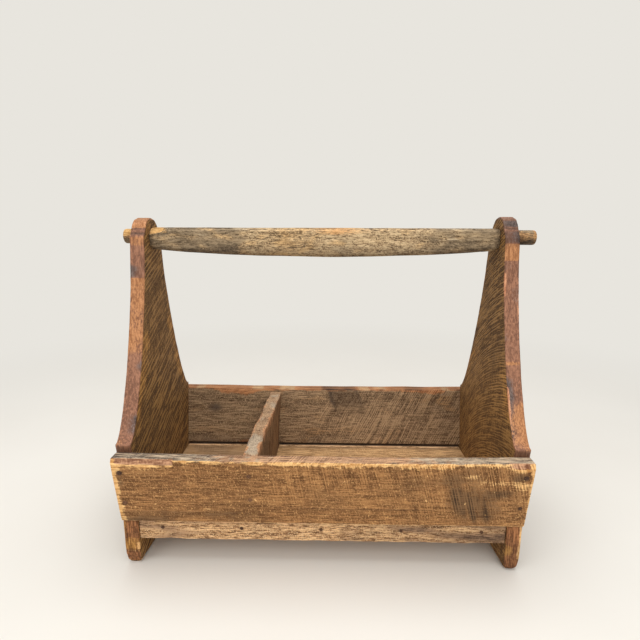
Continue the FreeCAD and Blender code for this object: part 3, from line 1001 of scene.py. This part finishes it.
def end_depths(points):
    """Depths behind wide face, outline and top or bottom; the outline's half width and how upright it is."""
    x, y, z = points.T
    foot = (z < NOTCH_Z - HAIR) | ((z < NOTCH_Z + HAIR) & (np.abs(y) > NOTCH_Y + HAIR))
    width = np.where(foot, FOOT_Y, half_width(z))
    change = np.where(foot, 0, (half_width(z + MM) - half_width(z - MM)) / (2 * MM))
    square = 1 / np.sqrt(1 + change**2)
    flat = END_THICKNESS / 2 - np.abs(x)
    return np.stack([flat, (width - np.abs(y)) * square, np.minimum(z, END_HEIGHT - z)], 1), width, square


def worn_end(points, seed):
    """An end board's points with their edges worn, most at the toes and at the head."""
    x, y, z = points.T
    depths, width, square = end_depths(points)
    toes = 6.5 * soft(22 * MM, 0, z) * soft(0.06, 0.12, np.abs(y))
    radius = 1.7 + 0.8 * drift(points, 0.025, seed) + toes + HEAD_WEAR * soft(0.472, 0.493, z)
    worn = rounded(depths, np.maximum(radius, 0.6) * MM)
    waves = drift(points, (1, 1, 0.05), seed + 1) + 0.2 + 0.6 * drift(points, (0.03, 1, 0.014), seed + 7)
    wavy = MM * np.maximum(waves, 0) * soft(6 * MM, 0, depths[:, 1])
    shaped = np.stack([
        np.sign(x) * (END_THICKNESS / 2 - worn[:, 0]),
        np.sign(y) * (width - worn[:, 1] / square - wavy),
        np.where(z < END_HEIGHT / 2, worn[:, 2], END_HEIGHT - worn[:, 2]),
    ], 1)
    return shaped, depths


# %% A finish for end boards, and their nails
end_wood = old_wood(
    "end_board_handled_wood", 2,
    ((82, 57, 31), (114, 81, 43), (160, 119, 67), (98, 71, 40), (176, 132, 77)),
    {
        "handled": ((114, 76, 57), (163, 114, 86), 0.2),
        "silver": ((66, 55, 52), (122, 102, 94), 0.25),
        "bare": ((148, 97, 59), (194, 136, 90), 0.2),
        "rosy": ((170, 108, 76), (214, 156, 116), 0.25),
        "ruddy": ((94, 58, 34), (172, 115, 72), 0.25),
        "golden": ((122, 82, 40), (192, 140, 74), 0.25),
        "pale": ((196, 142, 84), (246, 200, 138), 0.2),
    },
    6.0, length=0.8, sawing=1.25, even=1.0, checked=0.08, flecked=0.6,
)
FLOOR_NAIL_Y = [offset * MM for offset in (-59.486, 0, 59.486)]


# %% An end board with its own saw marks and patches
def end_board(name, node, side, saw_lines, head_drop, spans, seed):
    """A worn end board; side is -1 for the left one and 1 for the right one.

    saw_lines counts the strokes of the saw, head_drop is what the head has lost in millimetres, and
    spans lists the patches of each layer up the board, with those of dark lines across its edges.
    """
    bm = end_grid()
    drill(bm)
    points = points_of(bm)
    x, y, z = points.T
    shaped, depths = worn_end(points, seed)
    flat = soft(1.5 * MM, 0.2 * MM, depths[:, 0]) * soft(0, 3 * MM, depths[:, 1])
    lean = side * x / (END_THICKNESS / 2)
    marks = saw_lines(y, z)
    patchy = soft(-0.35, 0.35, drift(points, (1, 0.06, 0.09), seed + 3))
    phase = 0.4 * marks + 0.35 * drift(points, (1, 0.05, 0.07), seed + 2)
    ridges = flat * patchy * np.sin(math.tau * phase)
    grain = drift(points, (1, 0.005, 0.09), seed + 4)
    loss = flat * (0.16 * (1 - ridges) + np.maximum(0.2 * grain, 0))
    nails = [(side * END_THICKNESS / 2, nail_y, FLOOR_NAIL_Z) for nail_y in FLOOR_NAIL_Y]
    shaped[:, 0] -= np.sign(x) * (loss + 0.5 * spots(points, nails, 6 * MM)) * MM

    # the parts of the board that have looks of their own
    blotch = drift(points, 0.022, seed + 5)
    on_edge = soft(3.0 * MM, 0.6 * MM, depths[:, 1] + 0.8 * MM * blotch)
    crown = soft(0.474, 0.486, z) * soft(5 * MM, 1 * MM, depths[:, 2])
    narrow = np.maximum(on_edge, crown) * soft(0.11, 0.17, z)
    foot = on_edge * soft(0.076, 0.068, z)
    arris = soft(4.5 * MM, 1 * MM, np.hypot(depths[:, 0], depths[:, 1]) + 1.2 * MM * blotch)
    inner_band = soft(36 * MM, 10 * MM, depths[:, 1] + 10 * MM * blotch) * flat * soft(-0.2, -0.9, lean)
    patches = {label: stretches(z / MM, listed, lean) for label, listed in spans.items() if label != "dark"}
    bent = z / MM + 4 * blotch
    # dark lines: the narrow ones are painted shade in the creases of the front edges, the broad ones darken
    # the heads
    lines = sum(dark * bell(bent - at, reach) for at, reach, dark in spans["dark"]) * narrow

    # creases in the front edge, the worn head, and on the left board a facet across the front toe
    at_front = soft(0, -0.01, y)
    shaped[:, 1] -= np.sign(y) * 0.9 * MM * lines * at_front
    shaped[:, 2] -= head_drop * MM * soft(0.478, 0.496, z)
    toe = at_front * (side < 0) * soft(30 * MM, 25 * MM, z)
    shaped = pressed(shaped, (0, -FOOT_Y, 24 * MM), (0, -14, -4), toe)
    shaped[:, 0] += side * END_MIDDLE_X
    masks = {
        "sawline": marks,
        "sawn": flat * (0.6 + 0.4 * patchy) * (1 - 0.95 * soft(0, 0.9, lean)) * (1 - patches["smooth"]),
        "handled": narrow * 1.1,
        "silver": narrow * (patches["silver"] + 0.35 * soft(0.25, 0.6, blotch))
        + foot * (patches["foot_grey"] + 0.3 * blotch),
        "bare": narrow * (patches["bare"] + 0.25 * blotch),
        "ruddy": foot * (0.8 + 0.3 * blotch),
        "rosy": arris * patches["rosy"],
        "golden": inner_band * patches["golden"] + foot * (patches["foot_gold"] + 0.4 * blotch)
        + 0.2 * flat * soft(0.1, 0.5, drift(points, (1, 0.03, 0.05), seed + 6)),
        # pale wood down the right-hand arris of each foot: worn edge, with a painted highlight where light
        # falls from the right
        "pale": foot * (patches["foot_pale"] + 0.3 * blotch),
        "stain_and_shade": 0.8 * spots(points, nails, 8 * MM)
        # painted shade round the hole where the handle enters, and the dark lines across the edges
        + 0.6 * soft(15 * MM, 11 * MM, np.hypot(y, z - HANDLE_Z)) + lines
        # painted shade along the arrises of the upper board
        + 0.3 * arris * soft(0.0, 0.4, drift(points, (1, 1, 0.025), seed + 8)) * soft(0.19, 0.22, z)
        # painted shade on the edges just under the corner above the side boards
        + 0.55 * narrow * soft(190 * MM, 182 * MM, z) * soft(172 * MM, 180 * MM, z)
        # foot_dark from 70 mm to 76 mm is painted shade under the front board; lower down it darkens the feet
        + foot * (patches["foot_dark"] + 0.15 * soft(0.1, 0.5, -blotch))
        # painted shade: the upper parts of both wide faces darker, more on the right board
        + (0.12 + 0.08 * side) * flat * soft(0.24, 0.32, z),
    }
    show(name, bm, shaped, masks, end_wood, node)


# %% The left and the right end board
def slanting_lines(y, z):
    """Saw strokes that rise towards the back, 8 mm apart."""
    return (z - 0.47 * y) / (8.0 * MM)


def round_lines(y, z):
    """Arcs of a big round saw, 4.4 mm apart."""
    blade_radius, blade_y = 0.30, -0.15
    return (z - np.sqrt(blade_radius**2 - (y - blade_y) ** 2)) / 0.0044


# each patch: from, to, how softly it ends, its strength, and its lean to the outer face; each dark
# line: its height, half its breadth and how dark it is; the narrow dark lines are painted shade in
# creases, the broad ones darken the heads
# foot_dark from 70 mm to 76 mm is painted shade under the front board
left_spans = {
    "smooth": [(262, 400, 25, 0.68, 0), (400, 500, 12, 0.5, 0)],
    "bare": [(478, 500, 3, 0.85, 0), (452, 467, 4, 0.55, 0), (360, 407, 1.5, 0.66, -0.1),
             (296, 370, 12, 0.56, 0), (186, 195, 5, 0.4, 0)],
    "silver": [(407, 426, 5, 0.45, 0.3), (276, 292, 8, 0.3, -0.4), (195, 222, 8, 0.35, -0.3)],
    "rosy": [(200, 290, 8, 0.25, 0)],
    "golden": [(196, 330, 14, 0.55, 0)],
    "foot_gold": [(24, 46, 5, 0.58, 0), (44, 76, 4, -0.35, 1.1)],
    "foot_pale": [(25, 37, 2, -0.35, -1.2), (21.5, 23.5, 1, 0.4, 0)],
    "foot_grey": [(10, 21, 2.5, 0.7, 0), (46, 68, 6, 0.35, -0.35), (67, 76, 3, 0.55, 0)],
    "foot_dark": [(70, 76, 2, 0.35, 0), (21, 24, 1.5, 0.3, 0), (8.5, 11, 1.5, 0.35, 0.2)],
    "dark": [(476.5, 1.3, 0.5), (471, 1.8, 0.8), (494, 5, 0.25), (398, 1.2, 0.2), (391, 1.0, 0.2)],
}
right_spans = {
    "smooth": [(-50, 270, 50, 0.5, 0)],
    "bare": [(434, 458, 1.5, 0.9, 0), (289, 294, 2, 0.6, 0), (188, 240, 10, 0.62, 0.3)],
    "silver": [(481, 491, 2, 0.62, 0.1), (458, 476, 3, 0.45, 0.2), (300, 330, 12, 0.25, 0),
               (198, 275, 10, 0.25, -0.6)],
    "rosy": [(384, 418, 8, 0.55, -0.3), (350, 392, 8, 0.2, 0.4), (215, 262, 10, 0.25, -0.6)],
    "golden": [(205, 280, 14, 0.42, 0)],
    "foot_gold": [(24, 40, 6, 0.2, -0.3)],
    "foot_pale": [(18, 76, 5, -0.75, 1.6)],
    "foot_grey": [(0, 16, 6, 0.2, 0.4)],
    "foot_dark": [(-9, 46, 9, 0.33, 0), (70, 76, 2, 0.25, 0)],
    "dark": [(488, 10, 0.5), (479, 1.2, 0.6), (466, 10, 0.42)],
}
end_board("worn_left_end", "left_end_board", -1, slanting_lines, 3.0, left_spans, 71)
end_board("worn_right_end", "right_end_board", 1, round_lines, 0.0, right_spans, 81)

# %% [markdown]
# ## The hewn handle
#
# The bar was split and hewn: flat facets that wander along its length, a straight top, a bowed belly
# and a round tenon at each end that turns in its hole. It starts as a cylinder with many rings.
# For each ring a section is the nearest of a few flat cuts in each direction, as an axe leaves it.

# %% Rings along the handle
low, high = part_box("handle_bar")
SHOULDER_X = 259.7 * MM
TENON_RADIUS = 11 * MM
START_RADIUS = 10 * MM
SIDES_ROUND = 96
RING_STEP = 2.3 * MM
bm = bmesh.new()
bmesh.ops.create_cone(bm, cap_ends=True, segments=SIDES_ROUND, radius1=START_RADIUS, radius2=START_RADIUS,
                      depth=high.x - low.x)
bmesh.ops.rotate(bm, matrix=Matrix.Rotation(math.radians(90), 3, "Y"), verts=bm.verts)
bmesh.ops.translate(bm, vec=((low.x + high.x) / 2, 0, 0), verts=bm.verts)
for share in (0.08, 0.12, 0.25):
    caps = [face for face in bm.faces if len(face.verts) > 4]
    bmesh.ops.inset_region(bm, faces=caps, thickness=share * START_RADIUS, use_even_offset=False)
rings = [low.x + line for line in ARRIS_LINES] + [high.x - line for line in ARRIS_LINES]
for line in (-0.1 * MM, 0, *ARRIS_LINES):
    rings += [SHOULDER_X - line, line - SHOULDER_X]
cut_across(bm, 0, rings)
divide(bm, 0, RING_STEP)
print("handle has", len(bm.verts), "vertices")

# %% Hew the facets
CENTRE_DROP = 4.0
GRAZING = 0.05
points = points_of(bm)
x = points[:, 0]
share = np.hypot(points[:, 1], points[:, 2]) / START_RADIUS
angle = np.arctan2(points[:, 2], points[:, 1])
belly = 30 - 10.5 * (x / SHOULDER_X) ** 2
under = (10 + belly) / math.sqrt(2)
chip = 3.6 * soft(-0.226, -0.250, x)
# each cut: the direction it faces, in degrees, and how far from the axis it is, in millimetres
cuts = [(0, 15), (180, 15), (90, 13.5), (270, belly), (45, 16.6), (135, 16.6 - chip),
        (225, under), (315, under)]
line = np.stack([x, 0 * x, 0 * x], 1)
reach = np.full(len(x), np.inf)
for number, (degrees, distance) in enumerate(cuts):
    turn = math.radians(degrees)
    facing = np.cos(angle - turn)
    uneven = 0.55 * np.maximum(drift(line, 0.045, 91 + number) + 0.3, 0)
    from_centre = distance - uneven + CENTRE_DROP * math.sin(turn)
    reached = np.minimum(reach, from_centre / np.maximum(facing, GRAZING))
    reach = np.where(facing > GRAZING, reached, reach)
on_bar = np.abs(x) < SHOULDER_X + 0.05 * MM
from_end = np.minimum(x - low.x, high.x - x)
tip = np.sqrt(np.maximum(1 - np.square(np.maximum(1 - from_end / (3 * MM), 0)), 0))
tenon = TENON_RADIUS / MM * (0.80 + 0.20 * tip)
from_shoulder = np.maximum(SHOULDER_X - np.abs(x), 0)
bar_end = 1 - 0.10 * np.square(np.maximum(1 - from_shoulder / (9 * MM), 0))
span = np.where(on_bar, reach * bar_end, tenon) * share * MM
centre = np.where(on_bar, -CENTRE_DROP * MM, 0)
shaped = np.stack([x, span * np.cos(angle), HANDLE_Z + centre + span * np.sin(angle)], 1)
print("belly hangs", round(float(HANDLE_Z - shaped[:, 2].min()) * 1000, 1), "mm under the axis")

# %% Weather the handle, with painted shade under it and at its shoulders
around = shaped - np.array([0, 0, HANDLE_Z])
height, front = around[:, 2] / MM, -around[:, 1] / MM
ridges = drift(around, (0.09, 0.0045, 0.0045), 111)
lumps = drift(around, (0.04, 0.02, 0.02), 112)
outwards = np.stack([0 * x, np.cos(angle), np.sin(angle)], 1)
bar_depth = np.maximum(0.35 + 0.55 * ridges, 0) + np.maximum(0.4 * lumps, 0)
depth = np.where(on_bar, bar_depth, 0.12 + 0.12 * ridges)
shaped -= outwards * (depth * share * MM)[:, None]
ragged = x + 0.012 * drift(around, (0.012, 0.004, 0.004), 114)
chipped = soft(-0.228, -0.25, ragged) * soft(0, 7, height + 3 * lumps) * soft(0, 8, front) * on_bar
mid_top = bell(x - 0.02, 0.05) * soft(-2, 8, height)
long_drift = drift(around, (0.045, 0.006, 0.006), 113)
blotch = drift(around, (0.020, 0.010, 0.010), 115)
ends = soft(0.281, 0.2815, np.abs(x))
# the bar next to the end boards, which is painted darker as shade
at_shoulders = soft(0.262, 0.258, np.abs(x)) * soft(0.25, 0.258, np.abs(x))
handle_masks = {
    "dull": on_bar * (0.66 * soft(-0.09, -0.15, x) + 0.62 * soft(0.13, 0.18, x) + 0.2 * lumps + 0.45 * blotch)
    + 0.6 * ends * soft(0, 0.1, x),
    "silver": on_bar * (0.25 * soft(9.5, 12, height) + 0.5 * long_drift),
    "bare": 0.62 * mid_top + 0.35 * soft(0.2, 0.6, lumps)
    + ends * np.maximum(0.85 * soft(8 * MM, 2 * MM, high.x - x), 0.22),
    "tan": on_bar * (
        0.42 * soft(-0.1, 0.6, -blotch) + 0.4 * bell(x + 0.05, 0.05) - 0.15 * soft(0.1, 0.2, x)
    ),
    # the top of the left tenon is painted lighter as a highlight; the chips are real wear
    "worn": chipped + 0.8 * ends * soft(-1, 3, height) * soft(0, -0.1, x),
    # painted shade: the underside of the handle darker, and the bar darker at its shoulders where it meets
    # the end boards
    "stain_and_shade": 0.5 * soft(-8, -22, height) + 0.35 * at_shoulders * (1 - chipped)
    + on_bar * soft(10.5, 12.5, height) * (0.22 + 0.4 * lumps)
    # painted shade: the tenon ends darker below
    + ends * (0.08 + 0.6 * soft(2, -4, height) + 0.16 * soft(0, 0.1, x)),
}
handle_wood = old_wood(
    "handle_silvered_wood", 0,
    ((88, 70, 50), (162, 134, 100), (212, 185, 144), (128, 108, 84), (226, 198, 154)),
    {
        "dull": ((82, 68, 52), (158, 136, 106), 0.25),
        "silver": ((116, 100, 84), (204, 184, 152), 0.25),
        "bare": ((160, 114, 70), (222, 172, 116), 0.25),
        "tan": ((122, 94, 62), (224, 184, 130), 0.4),
        "worn": ((172, 126, 72), (230, 186, 122), 0.2),
    },
    7.0, length=0.42, checked=0.45, flecked=0.65, wavy=1.1,
)
show("hewn_handle", bm, shaped, handle_masks, handle_wood, "handle_bar", body="handle")

# %% [markdown]
# ## Rusty nails
#
# The nails are iron, rusted dark, with uneven heads hammered into small dents of the wood. One profile
# of a few points is spun into a nail, and each copy gets its own dents. A full spin is merged so that
# the seam closes, and the doubled points on the axis are merged after it.

# %% A finish for rusted iron
rust, spot, shader = new_finish("rusted_nail_iron")
scale_marks = speckle(spot, 900.0, 3.0)
bloom = speckle(spot, 240.0, 4.0)
rusted = spot.node("Attribute", {"attribute_name": "rusted"}, {}, "Fac")
flakes = scale_marks.between(0.35, 0.65)
iron = flakes.mix(tone(40, 25, 16), tone(90, 59, 39))
crust = flakes.mix(tone(112, 74, 46), tone(152, 106, 70))
pitted = spot.node("Bump", {}, {"Height": scale_marks + bloom, "Strength": 0.5, "Distance": 0.0004})
wire(shader, Base_Color=(rusted + (bloom - 0.5) * 0.8).between(0.15, 0.85).mix(iron, crust),
     Roughness=0.95 - scale_marks * 0.2, Metallic=0.1, Normal=pitted)
print(rust.name, "is mixed from", len(spot.tree.nodes), "nodes")


# %% One nail from a spun profile
SHANK_RADIUS, POINT_LENGTH = 1.5, 5
NAIL_SIDES = 18


def add_nail(bm, base, direction, length, head, random):
    """A rusty nail whose head sits at the base, driven in along the direction."""
    profile = [(0, 0.5), (0.5 * head, 0.45), (0.83 * head, 0.25), (head, -0.2), (0.92 * head, -0.75),
               (1.6, -0.85), (SHANK_RADIUS, POINT_LENGTH - length), (0, -length)]
    before = set(bm.verts)
    line = [bm.verts.new((radius * MM, 0, height * MM)) for radius, height in profile]
    edges = [bm.edges.new(pair) for pair in zip(line, line[1:])]
    bmesh.ops.spin(bm, geom=line + edges, cent=(0, 0, 0), axis=(0, 0, 1), angle=math.tau,
                   steps=NAIL_SIDES, use_merge=True)
    made = [vertex for vertex in bm.verts if vertex not in before]
    bmesh.ops.remove_doubles(bm, verts=made, dist=0.01 * MM)
    made = [vertex for vertex in bm.verts if vertex not in before]
    offset = Vector(random.uniform(0, 50, 3))
    for vertex in made:
        if vertex.co.z > -1 * MM:
            swell = 1 + 0.16 * noise.noise(vertex.co * 420 + offset)
            vertex.co.x *= swell
            vertex.co.y *= swell
            vertex.co.z += 0.22 * MM * noise.noise(vertex.co * 600 + offset)
    turn = Vector((0, 0, -1)).rotation_difference(Vector(direction)).to_matrix().to_4x4()
    spin = Matrix.Rotation(random.uniform(0, 6), 4, "Z")
    bmesh.ops.transform(bm, matrix=Matrix.Translation(base) @ turn @ spin, verts=made)


def nail_group(place, nails, direction, length, seed):
    """The nails of one place, as one piece; each has its base, its head's radius and its share of rust."""
    bm = bmesh.new()
    random = np.random.default_rng(seed)
    for base, head, _ in nails:
        add_nail(bm, base, direction, length, head, random)
    bmesh.ops.recalc_face_normals(bm, faces=bm.faces)
    points = points_of(bm)
    bases, _, shares = zip(*nails)
    nearest = np.argmin([np.linalg.norm(points - np.array(base), axis=1) for base in bases], axis=0)
    masks = {"rusted": np.array(shares)[nearest]}
    show(place + "_rusty_nails", bm, points, masks, rust, place + "_nails")


# %% Drive all the nails
LONG_NAIL, SHORT_NAIL = 51, 49
BATTEN_HEAD, FLOOR_HEAD, SOME_RUST = 2.4, 3.0, 0.3
SINK = 0.1 * MM
batten_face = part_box("back_floor_batten")[1].y - SINK
end_face = END_MIDDLE_X + END_THICKNESS / 2 - SINK
for side, where in ((-1, "front"), (1, "back")):
    inwards = (0, -side * LEAN, math.sin(SIDE_ANGLE))
    for label, (seed, nail_x, pair) in SIDE_NAILS.items():
        nails = []
        for drop, head, share in pair:
            run = SIDE_OUTER_Y - drop * MM * math.sin(SIDE_ANGLE) - SINK
            nails.append((Vector((nail_x, side * run, SIDE_TOP_Z - drop * MM * LEAN)), head, share))
        nail_group(f"{where}_{label}", nails, inwards, LONG_NAIL, seed + 10 * side)
    bases = [Vector((nail_x, side * batten_face, FLOOR_NAIL_Z)) for nail_x in BATTEN_NAIL_X]
    nails = [(base, BATTEN_HEAD, SOME_RUST) for base in bases]
    nail_group(f"{where}_batten", nails, (0, -side, 0), SHORT_NAIL, 60 + side)
for side, where in ((-1, "left"), (1, "right")):
    bases = [Vector((side * end_face, nail_y, FLOOR_NAIL_Z)) for nail_y in FLOOR_NAIL_Y]
    nails = [(base, FLOOR_HEAD, SOME_RUST) for base in bases]
    nail_group(f"{where}_floor", nails, (-side, 0, 0), LONG_NAIL, 70 + side)
